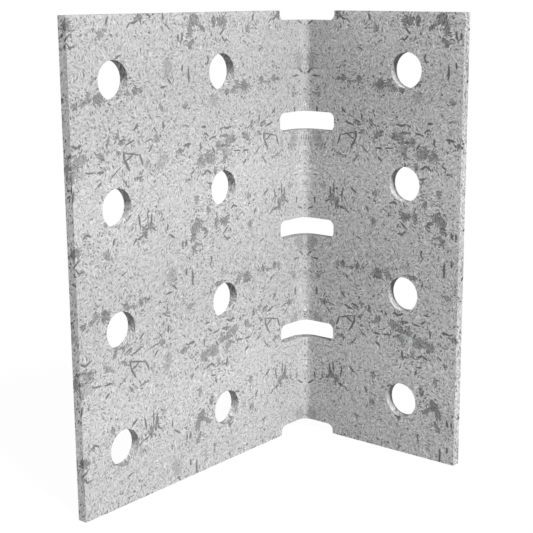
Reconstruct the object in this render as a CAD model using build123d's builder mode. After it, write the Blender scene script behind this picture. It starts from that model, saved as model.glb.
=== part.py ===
"""Angle bracket folded from one galvanised steel sheet.

The sheet has a single right-angled fold. Both legs are punched with rows of bolt holes,
and slots wrapped round the fold relieve it between the rows and at both ends.

The bracket stands on its end, with +Z along the fold. The origin lies on the foot, at the
middle of the bracket's outline. The wide leg runs along X and its outer face looks to +Y.
The narrow leg runs along Y and its outer face looks to +X. The inside of the fold is
towards -X and -Y. All sizes are in millimetres.
"""

import os

from build123d import *

# The sheet and its fold
sheet = 3.0  # thickness
bend_radius = 3.0  # inside radius of the fold

# Bolt holes, measured from the outer corner where the two outer faces would meet
hole_diameter = 11.0
hole_rows = 4
row_pitch = 35.0
first_column = 42.5  # the same on both legs
wide_columns = 2
column_pitch = 44.0
wide_edge = 15.8  # from the wide leg's last column to its free edge
narrow_edge = 20.0  # from the narrow leg's column to its free edge

# Slots through the fold
slot_reach = 15.2  # from the outer corner to the slot's end, on each leg
slot_height = 6.0
slot_corner = 2.0

# Sizes that follow from the ones above
outer_radius = bend_radius + sheet
wide_leg = first_column + (wide_columns - 1) * column_pitch + wide_edge
narrow_leg = first_column + narrow_edge
height = hole_rows * row_pitch

# The outer corner at the foot, and a plane on each outer face that starts there.
# On both planes X runs to the leg's free edge and Y runs up the bracket.
corner = (wide_leg / 2, narrow_leg / 2, 0)
foot_plane = Plane(origin=corner)
wide_plane = Plane(origin=corner, x_dir=(-1, 0, 0), z_dir=(0, 1, 0))
narrow_plane = Plane(origin=corner, x_dir=(0, -1, 0), z_dir=(-1, 0, 0))

with BuildPart() as angle_bracket:
    # The folded section: its outside line, thickened to the inside of the fold
    with BuildSketch(foot_plane):
        with BuildLine():
            FilletPolyline((-wide_leg, 0), (0, 0), (0, -narrow_leg), radius=outer_radius)
            offset(amount=sheet, side=Side.RIGHT)
        make_face()
    extrude(amount=height)

    # Bolt holes in both legs, each row halfway between two slots
    wide_middle = first_column + (wide_columns - 1) * column_pitch / 2
    for plane, middle, columns in (
        (wide_plane, wide_middle, wide_columns),
        (narrow_plane, first_column, 1),
    ):
        with BuildSketch(plane):
            with Locations((middle, height / 2)):
                with GridLocations(column_pitch, row_pitch, columns, hole_rows):
                    Circle(hole_diameter / 2)
        extrude(amount=sheet, both=True, mode=Mode.SUBTRACT)

    # Slots wrapped round the fold: one between each pair of rows, and half of one cut by each end.
    # Their walls stand square to each leg, and each cut reaches past the round of the fold.
    for plane in (wide_plane, narrow_plane):
        with BuildSketch(plane):
            with Locations((0, height / 2)):
                with GridLocations(slot_reach, row_pitch, 1, hole_rows + 1):
                    RectangleRounded(2 * slot_reach, slot_height, slot_corner)
        extrude(amount=outer_radius, both=True, mode=Mode.SUBTRACT)

angle_bracket.part.label = "angle_bracket"

os.makedirs("parts", exist_ok=True)
export_step(angle_bracket.part, "parts/angle_bracket.step")
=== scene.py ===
"""The looks of the angle bracket: galvanised sheet, white floor, lamps and the photograph's camera.

Blender's lengths are in metres and in the part's own frame. The material works in millimetres
on the unfolded sheet, so its patterns are given in millimetres or per millimetre.
"""

import math

import bpy
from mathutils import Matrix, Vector


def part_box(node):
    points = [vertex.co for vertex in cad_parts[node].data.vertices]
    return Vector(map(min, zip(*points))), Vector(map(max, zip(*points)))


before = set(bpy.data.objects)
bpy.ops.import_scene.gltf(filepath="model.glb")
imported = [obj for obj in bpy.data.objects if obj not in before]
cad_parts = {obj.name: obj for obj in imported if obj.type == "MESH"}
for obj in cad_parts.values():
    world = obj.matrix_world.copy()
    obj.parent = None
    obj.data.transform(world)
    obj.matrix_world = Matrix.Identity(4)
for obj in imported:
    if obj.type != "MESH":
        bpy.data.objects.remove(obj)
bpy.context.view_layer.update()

MM_PER_METRE = 1000.0
WHITE = (1.0, 1.0, 1.0, 1.0)

# The photograph's frame and where its camera stood, found by fitting the bracket's edges and holes
IMAGE_PIXELS = 533
FOCAL_PIXELS = 1222.6
CENTRE_PIXELS = (309.8, 254.4)
SENSOR_MM = 36.0
CAMERA_FROM_CORNER = Vector((-0.31633, -0.24868, 0.14660))
CAMERA_HEADING = 52.18  # degrees from +Y towards +X
CAMERA_PITCH = -12.25
NEAREST_SEEN = 0.01
FURTHEST_SEEN = 100.0

# Lamps: where each shines from, its share of a full light and its spread in degrees
KEY_LIGHT = ((-0.20, -0.648, 0.735), 1.20, 14.0)
SIDE_LIGHT = ((-0.90, 0.38, 0.20), 0.11, 20.0)
BACK_LIGHT = ((0.66, 0.66, 0.36), 0.50, 30.0)
ROOM_LIGHT = 0.08

FLOOR_SIZE = 6.0
FLOOR_GREY = 0.15  # how light the floor is to rays that only light the object
FLOOR_GLOW = 0.97  # the glowing share of the floor as it is seen. The rest shows the shadow.

# The sheet, and the square of it over which the spangle repeats. The fold mirrors the spangle.
SHEET_MM = 3.0
TILE_MM = 60.0
TILE_START_MM = (3.0, 12.5)  # where a square begins: away from the outer corner, below the top edge
NARROW_SHIFT_MM = 0.6  # how much further from the outer corner the narrow leg's image lies
IMAGE_BLEND_MM = 1.0  # half the width over which one image gives way to the other
LEG_BLEND_MM = 0.1  # half the width over which one leg's look gives way to the other's

# How squarely a surface faces out of the sheet where its edges begin, and where they are full
EDGE_FACING = (0.60, 0.45)
END_STRIP_MM = 0.5  # the last of each leg, which is its sheared end
END_BLEND_MM = 0.4

# How far up the spangle drifts for each millimetre deeper in the sheet
FACE_DRIFT = 0.8
EDGE_DRIFT = 0.3
EDGE_DRAW = 0.2  # the share by which edges draw the spangle out, up and down

# The tone of the faces and of the cut walls, and the gloss
STEEL_TONE = 0.722
CUT_TONE = 0.63
STEEL_METALLIC = 0.10
STEEL_SPECULAR = 0.20
STEEL_ROUGHNESS = 0.45
MARK_ROUGHNESS = 0.25  # what a mark that takes all light away would add
RELIEF_STRENGTH = 0.25
RELIEF_HEIGHT = 0.0002

# Down each square the sheet grows slowly darker and lighter again
WAVE_DEPTH = 0.05
WAVE_DARKEST_MM = 21.0  # below the top edge

# Painted shade: the sheet is painted a little darker beside the fold, as if shaded in the crease: by
# this share, and over this width
PAINTED_FOLD_SHADE = 0.14
PAINTED_FOLD_SHADE_MM = 32.0

# Painted shade: cut walls are painted darker where they face back and up, as if turned from the light:
# the direction as a weight on each axis, where along it the shade begins and is full, and its share
PAINTED_SHADE_SIDE = (0.85, 1.90, 0.40)
PAINTED_SHADE_RANGE = (-0.35, 0.65)
PAINTED_SHADE_SHARE = 0.58

# Noises: scale, detail and roughness
BEND_NOISE = (0.6, 1.0, 0.5)
CROWD_NOISE = (0.16, 2.0, 0.5)
RAGGED_NOISE = (1.3, 3.0, 0.75)
STREAK_NOISE = (1.0, 2.0, 0.6)
NOISE_MIDDLE = (0.5, 0.5, 0.5)

# Bends that keep every line from being straight
FIBRE_BEND_MM = (0.45, 0.45, 0.0)
MARK_BEND_MM = (0.5, 0.5, 0.0)

# Crystals, the streaks along and across them, and how much lighter and darker the streaks are
CRYSTALS_PER_MM = 0.45
STREAKS_PER_MM = (0.55, 2.7, 0.0)
STREAK_RANGE = (0.25, 0.75)  # between these the streaks' noise counts
GRAIN_RANGE = (-0.21, 0.23)
GRAIN_MIDDLE = 0.985
GRAIN_ON_NARROW = 0.4  # what each of these places adds to the grain's contrast
GRAIN_ON_TORN = 1.6

# Layers of short strokes, one in each cell of a grid: tilt in degrees, cell length and width,
# half length and half width, share of empty cells, depth
STROKE_LAYERS = (
    (20.0, 2.3, 1.4, 0.58, 0.23, 0.10, 0.78),
    (68.0, 2.1, 1.3, 0.52, 0.22, 0.10, 0.78),
    (112.0, 2.4, 1.4, 0.58, 0.24, 0.10, 0.78),
    (40.0, 5.0, 3.4, 1.05, 0.30, 0.30, 0.70),
    (80.0, 1.2, 0.9, 0.34, 0.18, 0.00, 0.70),
    (130.0, 1.1, 0.8, 0.30, 0.18, 0.00, 0.70),
    (55.0, 3.0, 2.4, 0.42, 0.28, 0.20, 0.82),
)
# Thin light streaks on the faces, given as a layer of strokes is
LIGHT_LAYER = (95.0, 2.3, 1.3, 1.15, 0.21, 0.0, 0.28)
LAYER_SHIFT_MM = (17.3, 9.1)  # each layer's grid lies this far from the one before
STROKE_SWING = 0.7  # radians to either side of the crystal's direction
STROKE_SIZES = (0.4, 1.2)  # the smallest and the largest stroke in one layer, times its size
STROKE_RIM = (1.15, 0.75)  # where a stroke begins and where it is full, in its half sizes
STROKE_RARITY = 1.8  # the higher, the more strokes are faint and the fewer are dark

# Strokes crowd round the dark and middle patches. From where to where they grow fainter, in half
# sizes of a patch, with this much noise added, and their depth near and far
CROWD_REACH = (5.0, 11.0)
CROWD_UNEVEN = 8.0
CROWD_DEPTH = (1.13, 0.75)

# How far the noise shifts the outlines of patches, in their half sizes, and its share on scratches
RAGGED = 1.8
SCRATCH_RAGGED = 0.10
FURTHEST_MARK = 9.0  # how far from a mark its distance is counted, in the mark's half sizes

# The larger marks of one square, in millimetres away from the outer corner and below the top edge.
# Patches: middle, half length, half width and tilt in degrees
DARK_PATCHES = (
    (32.2, 22.2, 1.7, 1.4, 0), (24.4, 20.9, 0.9, 0.9, 0), (45.8, 21.6, 1.2, 0.6, 0),
    (18.4, 20.8, 0.8, 1.0, 0), (40.4, 23.5, 0.9, 0.8, 30), (42.3, 2.7, 1.7, 1.2, 0),
    (45.9, 2.6, 0.8, 1.3, 0), (54.4, 2.3, 1.9, 1.5, 30), (56.0, 4.7, 0.9, 1.6, 0),
    (51.2, 4.2, 1.6, 0.6, -42), (55.6, 8.5, 1.3, 0.6, 35), (55.9, 9.9, 0.8, 0.45, 0),
    (15.9, 0.6, 0.9, 1.4, 0), (13.9, 59.2, 1.3, 0.9, 40), (29.2, 34.0, 0.5, 1.3, -20),
    (25.6, 37.3, 1.0, 0.5, -35), (1.3, 39.3, 1.3, 0.6, 10), (41.7, 39.6, 2.2, 0.5, 0),
    (42.4, 36.6, 1.6, 0.4, 0), (49.5, 57.9, 0.7, 1.2, -20), (58.0, 48.1, 0.7, 0.4, 0),
)
MIDDLE_PATCHES = (
    (25.7, 32.8, 0.5, 1.2, -20), (39.2, 38.0, 2.0, 1.2, 10), (44.3, 39.4, 1.0, 1.3, 0),
    (48.5, 42.4, 2.0, 1.6, 0), (52.1, 43.3, 1.7, 1.5, 20), (42.1, 42.6, 0.6, 1.4, 10),
    (31.9, 37.6, 1.6, 0.7, -30), (46.1, 46.6, 0.6, 1.2, 0), (58.4, 26.4, 0.9, 0.8, 20),
    (8.4, 26.3, 0.7, 0.7, 0), (30.6, 5.4, 0.9, 1.0, 0), (35.8, 21.6, 0.9, 1.1, 0),
    (37.6, 23.2, 1.1, 0.6, 20), (21.6, 21.5, 1.6, 0.35, 0), (16.3, 20.8, 0.6, 0.6, 0),
    (10.5, 34.6, 1.0, 0.9, 0), (23.9, 34.7, 1.2, 0.5, 20), (54.5, 54.2, 0.6, 1.1, 0),
    (31.0, 56.4, 0.6, 0.9, 0), (17.8, 45.2, 1.5, 0.4, 15),
)
PALE_PATCHES = (
    (40.8, 41.6, 1.9, 1.2, 0), (14.4, 41.6, 0.7, 1.0, 0), (10.3, 56.0, 1.0, 0.6, 0),
    (8.6, 41.5, 1.4, 2.6, -30), (46.0, 26.0, 1.6, 1.5, 0), (5.5, 15.5, 1.6, 2.4, 10),
)
# Each kind of patch, how soft its rim is, and its depth
PATCH_KINDS = (
    (DARK_PATCHES, 0.15, 0.50),
    (MIDDLE_PATCHES, 0.15, 0.43),
    (PALE_PATCHES, 0.40, 0.28),
)
PATCH_RIM = 1.25  # the middle of a patch's rim, in its half sizes
FEATHER_RANGE = (0.35, 0.65)  # between these the streaks' noise changes a patch's depth
FEATHER_DEPTH = (1.1, 0.9)
STROKE_IN_PATCH = 0.5  # how much of a stroke shows through a patch

# Scratches: from one end to the other, and half width
SCRATCHES = (
    (16.1, 41.6, 17.2, 38.8, 0.33), (17.2, 38.8, 23.3, 37.5, 0.26), (20.0, 38.4, 22.6, 39.9, 0.30),
    (23.3, 37.5, 23.3, 39.4, 0.38), (23.3, 39.4, 21.4, 42.5, 0.40), (13.2, 56.0, 13.6, 59.2, 0.40),
    (14.6, 54.6, 14.9, 58.4, 0.30), (18.3, 55.8, 17.8, 59.3, 0.36), (16.9, 1.9, 18.8, 2.5, 0.35),
    (19.4, 2.4, 20.7, 3.6, 0.28), (11.7, 0.9, 13.3, -0.1, 0.30), (15.8, 1.2, 15.6, 2.6, 0.30),
    (56.9, 15.8, 56.8, 19.6, 0.42), (56.9, 37.6, 59.4, 37.9, 0.40), (48.0, 47.2, 49.6, 46.3, 0.38),
    (49.6, 46.3, 51.3, 47.3, 0.40), (41.9, 46.2, 42.4, 48.4, 0.42), (46.1, 41.3, 47.0, 39.9, 0.35),
    (45.6, 36.3, 48.4, 36.9, 0.30), (38.8, 34.0, 40.4, 34.6, 0.35), (40.4, 34.6, 41.8, 33.9, 0.35),
    (50.0, 33.1, 51.5, 33.1, 0.36), (48.9, 36.0, 50.4, 35.0, 0.35), (31.0, 42.0, 33.2, 42.0, 0.35),
    (34.5, 41.8, 37.6, 41.5, 0.26), (21.6, 55.4, 23.3, 56.7, 0.42), (27.7, 1.0, 28.4, 2.4, 0.40),
    (40.9, 4.8, 43.0, 6.4, 0.32), (39.7, 8.2, 41.5, 8.4, 0.30), (42.2, 7.3, 40.9, 8.7, 0.32),
    (48.7, 12.6, 48.3, 13.6, 0.30), (48.3, 13.6, 48.9, 15.2, 0.30), (0.8, 6.2, 0.8, 7.6, 0.40),
    (59.2, 6.0, 59.5, 7.6, 0.40), (59.4, 14.8, 59.5, 16.2, 0.36), (24.9, 41.4, 28.3, 44.0, 0.20),
    (22.3, 46.9, 24.2, 44.6, 0.25), (12.2, 36.6, 13.5, 38.0, 0.30), (12.2, 34.6, 15.5, 35.4, 0.20),
    (19.3, 34.4, 22.4, 35.4, 0.30), (22.8, 33.6, 24.8, 34.3, 0.30), (17.8, 30.2, 19.2, 31.6, 0.34),
    (7.7, 30.4, 7.8, 32.0, 0.38), (52.2, 37.8, 52.6, 40.0, 0.35), (55.2, 45.6, 56.6, 46.5, 0.30),
    (47.6, 50.4, 49.4, 50.1, 0.30), (47.5, 51.6, 47.0, 53.0, 0.30), (32.0, 44.8, 33.1, 45.7, 0.38),
    (36.6, 58.9, 38.0, 58.3, 0.30), (38.0, 58.3, 39.1, 59.1, 0.30), (6.0, 20.4, 8.4, 20.6, 0.30),
    (3.9, 19.8, 5.4, 18.4, 0.30), (10.4, 33.2, 11.6, 31.6, 0.20), (23.8, 11.0, 25.6, 11.8, 0.26),
    (4.1, 4.4, 6.1, 3.1, 0.30), (6.9, 0.0, 7.0, 1.6, 0.35),
)
SCRATCH_RIM = (1.25, 0.80)  # where a scratch begins and where it is full, in its half sizes
SCRATCH_DEPTH = 0.66

DARKEST = 0.66  # the share of light that the darkest mark takes away on the wide leg's face
MARKS_ON_NARROW = 0.15  # what each of these places adds to the depth of the marks
MARKS_ON_ENDS = 0.25
MARKS_ON_CUTS = -0.40


def new_node(tree, kind, inputs=None, **settings):
    """One shader node. An input may be a value or another node's output."""
    node = tree.nodes.new(kind)
    for name, value in settings.items():
        setattr(node, name, value)
    for key, value in (inputs or {}).items():
        if isinstance(value, bpy.types.NodeSocket):
            tree.links.new(value, node.inputs[key])
        else:
            node.inputs[key].default_value = value
    return node


def maths(tree, operation, first, second=0.0, third=0.0):
    inputs = {0: first, 1: second, 2: third}
    return new_node(tree, "ShaderNodeMath", inputs, operation=operation).outputs[0]


def times(tree, first, second):
    return maths(tree, "MULTIPLY", first, second)


def linear(tree, value, slope, base=1.0):
    """The value times the slope, plus the base."""
    return maths(tree, "MULTIPLY_ADD", value, slope, base)


def vector_maths(tree, operation, first, second=(0.0, 0.0, 0.0), third=(0.0, 0.0, 0.0)):
    node = new_node(tree, "ShaderNodeVectorMath", {0: first, 1: second, 2: third}, operation=operation)
    return node.outputs["Value" if operation in ("LENGTH", "DOT_PRODUCT") else "Vector"]


def parts_of(tree, vector):
    return new_node(tree, "ShaderNodeSeparateXYZ", {0: vector}).outputs


def flat_place(tree, along, down):
    return new_node(tree, "ShaderNodeCombineXYZ", {0: along, 1: down}).outputs[0]


def grey(tree, value):
    return new_node(tree, "ShaderNodeCombineColor", {0: value, 1: value, 2: value}).outputs[0]


def turned(tree, place, angle, middle=(0.0, 0.0, 0.0)):
    """The place, turned on the flat sheet round a middle."""
    inputs = {"Vector": place, "Center": middle, "Angle": angle}
    return new_node(tree, "ShaderNodeVectorRotate", inputs, rotation_type="Z_AXIS").outputs[0]


def ramp(tree, value, start, end, low=0.0, high=1.0):
    """A smooth step from low to high as the value goes from start to end."""
    inputs = {"Value": value, "From Min": start, "From Max": end, "To Min": low, "To Max": high}
    node = new_node(tree, "ShaderNodeMapRange", inputs, interpolation_type="SMOOTHSTEP")
    return node.outputs["Result"]


def noise(tree, place, settings, output="Fac"):
    scale, detail, roughness = settings
    inputs = {"Vector": place, "Scale": scale, "Detail": detail, "Roughness": roughness}
    return new_node(tree, "ShaderNodeTexNoise", inputs, noise_dimensions="2D").outputs[output]


def nearest_cell(tree, place, scale):
    """The middle of the nearest of many scattered cells, and three random numbers of that cell."""
    inputs = {"Vector": place, "Scale": scale, "Randomness": 1.0}
    cell = new_node(tree, "ShaderNodeTexVoronoi", inputs, voronoi_dimensions="2D").outputs
    return cell["Position"], new_node(tree, "ShaderNodeSeparateColor", {0: cell["Color"]}).outputs


def new_material(name):
    material = bpy.data.materials.new(name)
    material.use_nodes = True
    material.node_tree.nodes.clear()
    return material, material.node_tree


def flat_sheet(tree, corner, top, reach):
    """Where a point lies on the unfolded sheet, in millimetres, and what kind of place it is.

    Places run away from the outer corner and down from the top edge.
    """
    coordinates = new_node(tree, "ShaderNodeTexCoord").outputs
    axes = parts_of(tree, coordinates["Object"])
    across_x = linear(tree, axes["X"], -MM_PER_METRE, corner[0] * MM_PER_METRE)
    across_y = linear(tree, axes["Y"], -MM_PER_METRE, corner[1] * MM_PER_METRE)
    drop = linear(tree, axes["Z"], -MM_PER_METRE, top * MM_PER_METRE)
    depth = maths(tree, "MINIMUM", across_x, across_y)
    lean = maths(tree, "SUBTRACT", across_y, across_x)
    from_fold = maths(tree, "ABSOLUTE", lean)

    facing = parts_of(tree, coordinates["Normal"])
    face_x = maths(tree, "ABSOLUTE", facing["X"])
    face_y = maths(tree, "ABSOLUTE", facing["Y"])
    narrow = ramp(tree, lean, -LEG_BLEND_MM, LEG_BLEND_MM)
    face = maths(tree, "MULTIPLY_ADD", narrow, maths(tree, "SUBTRACT", face_x, face_y), face_y)
    edge = ramp(tree, face, *EDGE_FACING)

    narrow_start = SHEET_MM - NARROW_SHIFT_MM
    start = ramp(tree, lean, -IMAGE_BLEND_MM, IMAGE_BLEND_MM, SHEET_MM, narrow_start)
    along = maths(tree, "ADD", from_fold, start)
    sunk = maths(tree, "SUBTRACT", depth, SHEET_MM)
    drift = linear(tree, edge, EDGE_DRIFT - FACE_DRIFT, FACE_DRIFT)
    down = maths(tree, "MULTIPLY_ADD", sunk, drift, drop)
    drawn = maths(tree, "MULTIPLY_ADD", times(tree, drop, edge), -EDGE_DRAW, down)

    past_x = maths(tree, "SUBTRACT", across_x, reach[0] * MM_PER_METRE - END_STRIP_MM)
    past_y = maths(tree, "SUBTRACT", across_y, reach[1] * MM_PER_METRE - END_STRIP_MM)
    end = ramp(tree, maths(tree, "MAXIMUM", past_x, past_y), 0.0, END_BLEND_MM)
    # how squarely each place faces back and up, for the painted shade on cut walls
    painted_shade_facing = vector_maths(tree, "DOT_PRODUCT", coordinates["Normal"], PAINTED_SHADE_SIDE)
    return {
        "sheet": flat_place(tree, along, down),
        "fibres": flat_place(tree, along, drawn),
        "down": down,
        "narrow": narrow,
        # the free ends of the legs, and all other edges
        "sheared": times(tree, edge, end),
        "cut": times(tree, edge, maths(tree, "SUBTRACT", 1.0, end)),
        # painted shade: cut walls that face back and up, darkened as if shaded
        "painted_shade": times(tree, ramp(tree, painted_shade_facing, *PAINTED_SHADE_RANGE), edge),
        # painted shade beside the fold
        "fold_painted_shade": ramp(tree, from_fold, PAINTED_FOLD_SHADE_MM, 0.0),
    }


def tiled(tree, place):
    """The same place in the first square."""
    start = (*TILE_START_MM, 0.0)
    moved = vector_maths(tree, "SUBTRACT", place, start)
    # far enough that no place is below zero before the remainder is taken
    shifted = vector_maths(tree, "ADD", moved, (TILE_MM, TILE_MM, 0.0))
    wrapped = vector_maths(tree, "MODULO", shifted, (TILE_MM, TILE_MM, 1.0))
    return vector_maths(tree, "ADD", wrapped, start)


def stroke_layer(tree, place, direction, number, layer):
    """One stroke in each cell, near the direction of its crystal and weighted at random."""
    tilt, cell_length, cell_width, half_length, half_width, empty, depth = layer
    mapping = {
        "Vector": place,
        "Location": (LAYER_SHIFT_MM[0] * number, LAYER_SHIFT_MM[1] * number, 0.0),
        "Rotation": (0.0, 0.0, math.radians(tilt)),
        "Scale": (cell_length, cell_width, 1.0),
    }
    cells = new_node(tree, "ShaderNodeMapping", mapping, vector_type="TEXTURE").outputs[0]
    middle, chance = nearest_cell(tree, cells, 1.0)
    offset = vector_maths(tree, "SUBTRACT", cells, middle)
    local = vector_maths(tree, "MULTIPLY", offset, (cell_length, cell_width, 0.0))
    swing = linear(tree, chance[0], 2 * STROKE_SWING, math.radians(tilt) - STROKE_SWING)
    lying = turned(tree, local, maths(tree, "ADD", direction, swing))
    inverse = (1.0 / half_length, 1.0 / half_width, 0.0)
    reach = vector_maths(tree, "LENGTH", vector_maths(tree, "MULTIPLY", lying, inverse))
    smallest, largest = STROKE_SIZES
    size = linear(tree, chance[2], largest - smallest, smallest)
    body = ramp(tree, maths(tree, "DIVIDE", reach, size), *STROKE_RIM)
    share = {"Value": chance[1], "From Min": empty, "From Max": 1.0}
    weight = new_node(tree, "ShaderNodeMapRange", share).outputs["Result"]
    weight = times(tree, maths(tree, "POWER", weight, STROKE_RARITY), depth)
    return times(tree, body, weight)


def nearest_mark(tree, square, marks):
    """How far a place is from the nearest mark, where 1 is that mark's rim."""
    nearest = FURTHEST_MARK
    for along, down, half_length, half_width, tilt in marks:
        along += TILE_MM if along < TILE_START_MM[0] else 0.0
        down += TILE_MM if down < TILE_START_MM[1] else 0.0
        level = square
        if tilt:
            level = turned(tree, square, -math.radians(tilt), (along, down, 0.0))
        inverse = (1.0 / half_length, 1.0 / half_width, 0.0)
        offset = (-along / half_length, -down / half_width, 0.0)
        local = vector_maths(tree, "MULTIPLY_ADD", level, inverse, offset)
        nearest = maths(tree, "MINIMUM", vector_maths(tree, "LENGTH", local), nearest)
    return nearest


def scratch_marks():
    """The scratches as long thin marks."""
    marks = []
    for along, down, end_along, end_down, half_width in SCRATCHES:
        reach_along = end_along - along
        reach_down = end_down - down
        half_length = math.hypot(reach_along, reach_down) / 2 + half_width
        tilt = math.degrees(math.atan2(reach_down, reach_along))
        marks.append((along + reach_along / 2, down + reach_down / 2, half_length, half_width, tilt))
    return marks


def crystal_streaks(tree, fibres):
    """The direction of each crystal, a few millimetres wide, and streaks that run along it."""
    _, chance = nearest_cell(tree, fibres, CRYSTALS_PER_MM)
    direction = times(tree, chance[0], math.pi)
    stretched = vector_maths(tree, "MULTIPLY", turned(tree, fibres, direction), STREAKS_PER_MM)
    return direction, noise(tree, stretched, STREAK_NOISE)


def dark_marks(tree, sheet, fibres, square, direction, streaks):
    """The strokes, patches and scratches together: the share of light that each place loses."""
    near_patches = [nearest_mark(tree, square, patches) for patches, _, _ in PATCH_KINDS]

    dark = 0.0
    for number, layer in enumerate(STROKE_LAYERS):
        stroke = stroke_layer(tree, fibres, direction, number, layer)
        dark = maths(tree, "MAXIMUM", stroke, dark)
    # the strokes crowd round the dark and middle patches and are fainter between them
    near_dark = maths(tree, "MINIMUM", near_patches[0], near_patches[1])
    uneven = noise(tree, sheet, CROWD_NOISE)
    away = maths(tree, "MULTIPLY_ADD", uneven, CROWD_UNEVEN, near_dark)
    dark = times(tree, dark, ramp(tree, away, *CROWD_REACH, *CROWD_DEPTH))

    ragged = maths(tree, "ADD", noise(tree, sheet, RAGGED_NOISE), streaks)
    spread = linear(tree, ragged, RAGGED, -RAGGED)
    feathers = ramp(tree, streaks, *FEATHER_RANGE, *FEATHER_DEPTH)
    for near, (_, rim, depth) in zip(near_patches, PATCH_KINDS):
        near = maths(tree, "ADD", near, spread)
        patch = ramp(tree, near, PATCH_RIM + rim, PATCH_RIM - rim, 0.0, depth)
        patch = times(tree, patch, feathers)
        # the strokes show through the patches, only fainter
        deeper = maths(tree, "MULTIPLY_ADD", times(tree, patch, dark), STROKE_IN_PATCH, patch)
        dark = maths(tree, "MAXIMUM", dark, deeper)

    near = nearest_mark(tree, square, scratch_marks())
    near = maths(tree, "MULTIPLY_ADD", spread, SCRATCH_RAGGED, near)
    scratch = ramp(tree, near, *SCRATCH_RIM, 0.0, SCRATCH_DEPTH)
    return maths(tree, "MINIMUM", maths(tree, "MAXIMUM", dark, scratch), DARKEST)


def streak_grain(tree, where, fibres, direction, streaks):
    """The streaks' light and dark round 1, with light streaks on the faces."""
    grain = ramp(tree, streaks, *STREAK_RANGE, *GRAIN_RANGE)
    # the wide leg's cut walls look torn
    torn = times(tree, where["cut"], maths(tree, "SUBTRACT", 1.0, where["narrow"]))
    grain = times(tree, grain, linear(tree, torn, GRAIN_ON_TORN))
    glint = stroke_layer(tree, fibres, direction, len(STROKE_LAYERS), LIGHT_LAYER)
    glint = times(tree, glint, maths(tree, "SUBTRACT", 1.0, where["cut"]))
    grain = maths(tree, "ADD", grain, glint)
    grain = times(tree, grain, linear(tree, where["narrow"], GRAIN_ON_NARROW))
    return maths(tree, "ADD", grain, GRAIN_MIDDLE)


def slow_shade(tree, where):
    """The steel's own tone, with what changes slowly over the sheet and from wall to wall: a wave, and
    painted shade beside the fold and on cut walls that face back and up.
    """
    shade = linear(tree, where["cut"], CUT_TONE - STEEL_TONE, STEEL_TONE)
    # painted shade on cut walls that face back and up
    shade = maths(tree, "MULTIPLY_ADD", where["painted_shade"], -PAINTED_SHADE_SHARE * CUT_TONE, shade)
    # painted shade beside the fold
    shade = times(tree, shade, linear(tree, where["fold_painted_shade"], -PAINTED_FOLD_SHADE))
    radians_per_mm = math.tau / TILE_MM
    turns = linear(tree, where["down"], radians_per_mm, -radians_per_mm * WAVE_DARKEST_MM)
    return times(tree, shade, linear(tree, maths(tree, "COSINE", turns), -WAVE_DEPTH))


def galvanised_steel(corner, top, reach):
    material, tree = new_material("galvanised_steel")
    where = flat_sheet(tree, corner, top, reach)
    sheet = where["sheet"]
    cut = where["cut"]

    bend = noise(tree, sheet, BEND_NOISE, output="Color")
    bend = vector_maths(tree, "SUBTRACT", bend, NOISE_MIDDLE)
    fibres = vector_maths(tree, "MULTIPLY_ADD", bend, FIBRE_BEND_MM, where["fibres"])
    square = tiled(tree, vector_maths(tree, "MULTIPLY_ADD", bend, MARK_BEND_MM, sheet))

    direction, streaks = crystal_streaks(tree, fibres)
    dark = dark_marks(tree, sheet, fibres, square, direction, streaks)
    dark = times(tree, dark, linear(tree, where["narrow"], MARKS_ON_NARROW))
    on_cuts = linear(tree, cut, MARKS_ON_CUTS)
    dark = times(tree, dark, linear(tree, where["sheared"], MARKS_ON_ENDS, on_cuts))

    grain = streak_grain(tree, where, fibres, direction, streaks)
    tone = times(tree, grain, maths(tree, "SUBTRACT", 1.0, dark))
    colour = grey(tree, times(tree, tone, slow_shade(tree, where)))
    rough = linear(tree, dark, MARK_ROUGHNESS, STEEL_ROUGHNESS)
    relief = {"Height": streaks, "Strength": RELIEF_STRENGTH, "Distance": RELIEF_HEIGHT}
    surface = {
        "Base Color": colour,
        # the cut walls have no gloss
        "Metallic": linear(tree, cut, -STEEL_METALLIC, STEEL_METALLIC),
        "Roughness": maths(tree, "MAXIMUM", rough, cut),
        "Specular IOR Level": STEEL_SPECULAR,
        "Normal": new_node(tree, "ShaderNodeBump", relief).outputs[0],
    }
    shader = new_node(tree, "ShaderNodeBsdfPrincipled", surface)
    new_node(tree, "ShaderNodeOutputMaterial", {"Surface": shader.outputs[0]})
    return material


def seen_as_background(tree):
    """1 where a ray comes from the camera or from a mirror or glass, else 0."""
    rays = new_node(tree, "ShaderNodeLightPath").outputs
    straight = maths(tree, "MAXIMUM", rays["Is Camera Ray"], rays["Is Glossy Ray"])
    return maths(tree, "MAXIMUM", straight, rays["Is Transmission Ray"])


def white_floor():
    material, tree = new_material("white_floor")
    seen = seen_as_background(tree)
    colour = grey(tree, linear(tree, seen, 1.0 - FLOOR_GREY, FLOOR_GREY))
    plain = new_node(tree, "ShaderNodeBsdfDiffuse", {"Color": colour})
    glow = new_node(tree, "ShaderNodeEmission", {"Color": WHITE, "Strength": 1.0})
    share = times(tree, seen, FLOOR_GLOW)
    mix = new_node(tree, "ShaderNodeMixShader", {0: share, 1: plain.outputs[0], 2: glow.outputs[0]})
    new_node(tree, "ShaderNodeOutputMaterial", {"Surface": mix.outputs[0]})
    return material


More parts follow.
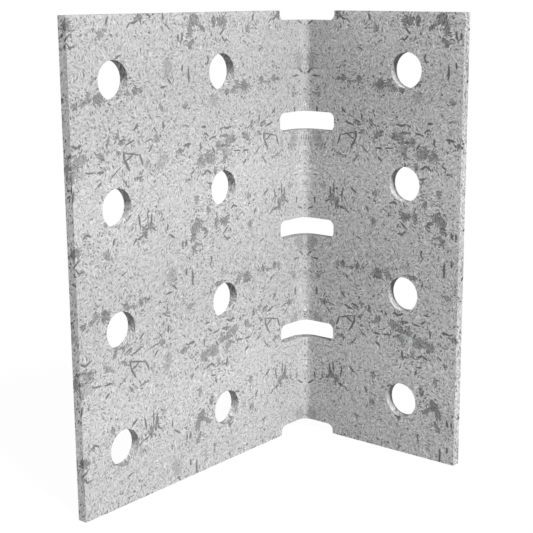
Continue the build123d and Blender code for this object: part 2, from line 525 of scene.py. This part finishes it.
def add_floor():
    half = FLOOR_SIZE / 2
    corners = [(-half, -half, 0), (half, -half, 0), (half, half, 0), (-half, half, 0)]
    mesh = bpy.data.meshes.new("floor")
    mesh.from_pydata(corners, [], [(0, 1, 2, 3)])
    mesh.materials.append(white_floor())
    floor = bpy.data.objects.new("floor", mesh)
    bpy.context.scene.collection.objects.link(floor)


def add_world():
    world = bpy.data.worlds.new("studio")
    bpy.context.scene.world = world
    world.use_nodes = True
    tree = world.node_tree
    tree.nodes.clear()
    strength = linear(tree, seen_as_background(tree), 1.0 - ROOM_LIGHT, ROOM_LIGHT)
    room = new_node(tree, "ShaderNodeBackground", {"Color": WHITE, "Strength": strength})
    new_node(tree, "ShaderNodeOutputWorld", {"Surface": room.outputs[0]})


def add_sun(name, light):
    """A far soft lamp. A full share lights a white surface that faces it to white."""
    source, share, spread = light
    lamp = bpy.data.lights.new(name, "SUN")
    lamp.energy = math.pi * share
    lamp.angle = math.radians(spread)
    sun = bpy.data.objects.new(name, lamp)
    sun.rotation_euler = Vector(source).to_track_quat("Z", "Y").to_euler()
    bpy.context.scene.collection.objects.link(sun)


def add_camera(corner):
    lens = bpy.data.cameras.new("photo_camera")
    lens.sensor_width = SENSOR_MM
    lens.lens = FOCAL_PIXELS * SENSOR_MM / IMAGE_PIXELS
    lens.shift_x = 0.5 - CENTRE_PIXELS[0] / IMAGE_PIXELS
    lens.shift_y = CENTRE_PIXELS[1] / IMAGE_PIXELS - 0.5
    lens.clip_start = NEAREST_SEEN
    lens.clip_end = FURTHEST_SEEN
    camera = bpy.data.objects.new("photo_camera", lens)
    camera.location = corner + CAMERA_FROM_CORNER
    camera.rotation_euler = (math.radians(90.0 + CAMERA_PITCH), 0.0, -math.radians(CAMERA_HEADING))
    bpy.context.scene.collection.objects.link(camera)
    bpy.context.scene.camera = camera


low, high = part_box("angle_bracket")
outer_corner = Vector((high[0], high[1], low[2]))

steel = galvanised_steel(outer_corner, high[2], (high[0] - low[0], high[1] - low[1]))
bracket = bpy.data.objects["angle_bracket"]
for slot in bracket.material_slots:
    slot.material = steel

bpy.context.scene.view_settings.view_transform = "Standard"
add_floor()
add_world()
add_sun("key", KEY_LIGHT)
add_sun("side", SIDE_LIGHT)
add_sun("back", BACK_LIGHT)
add_camera(outer_corner)
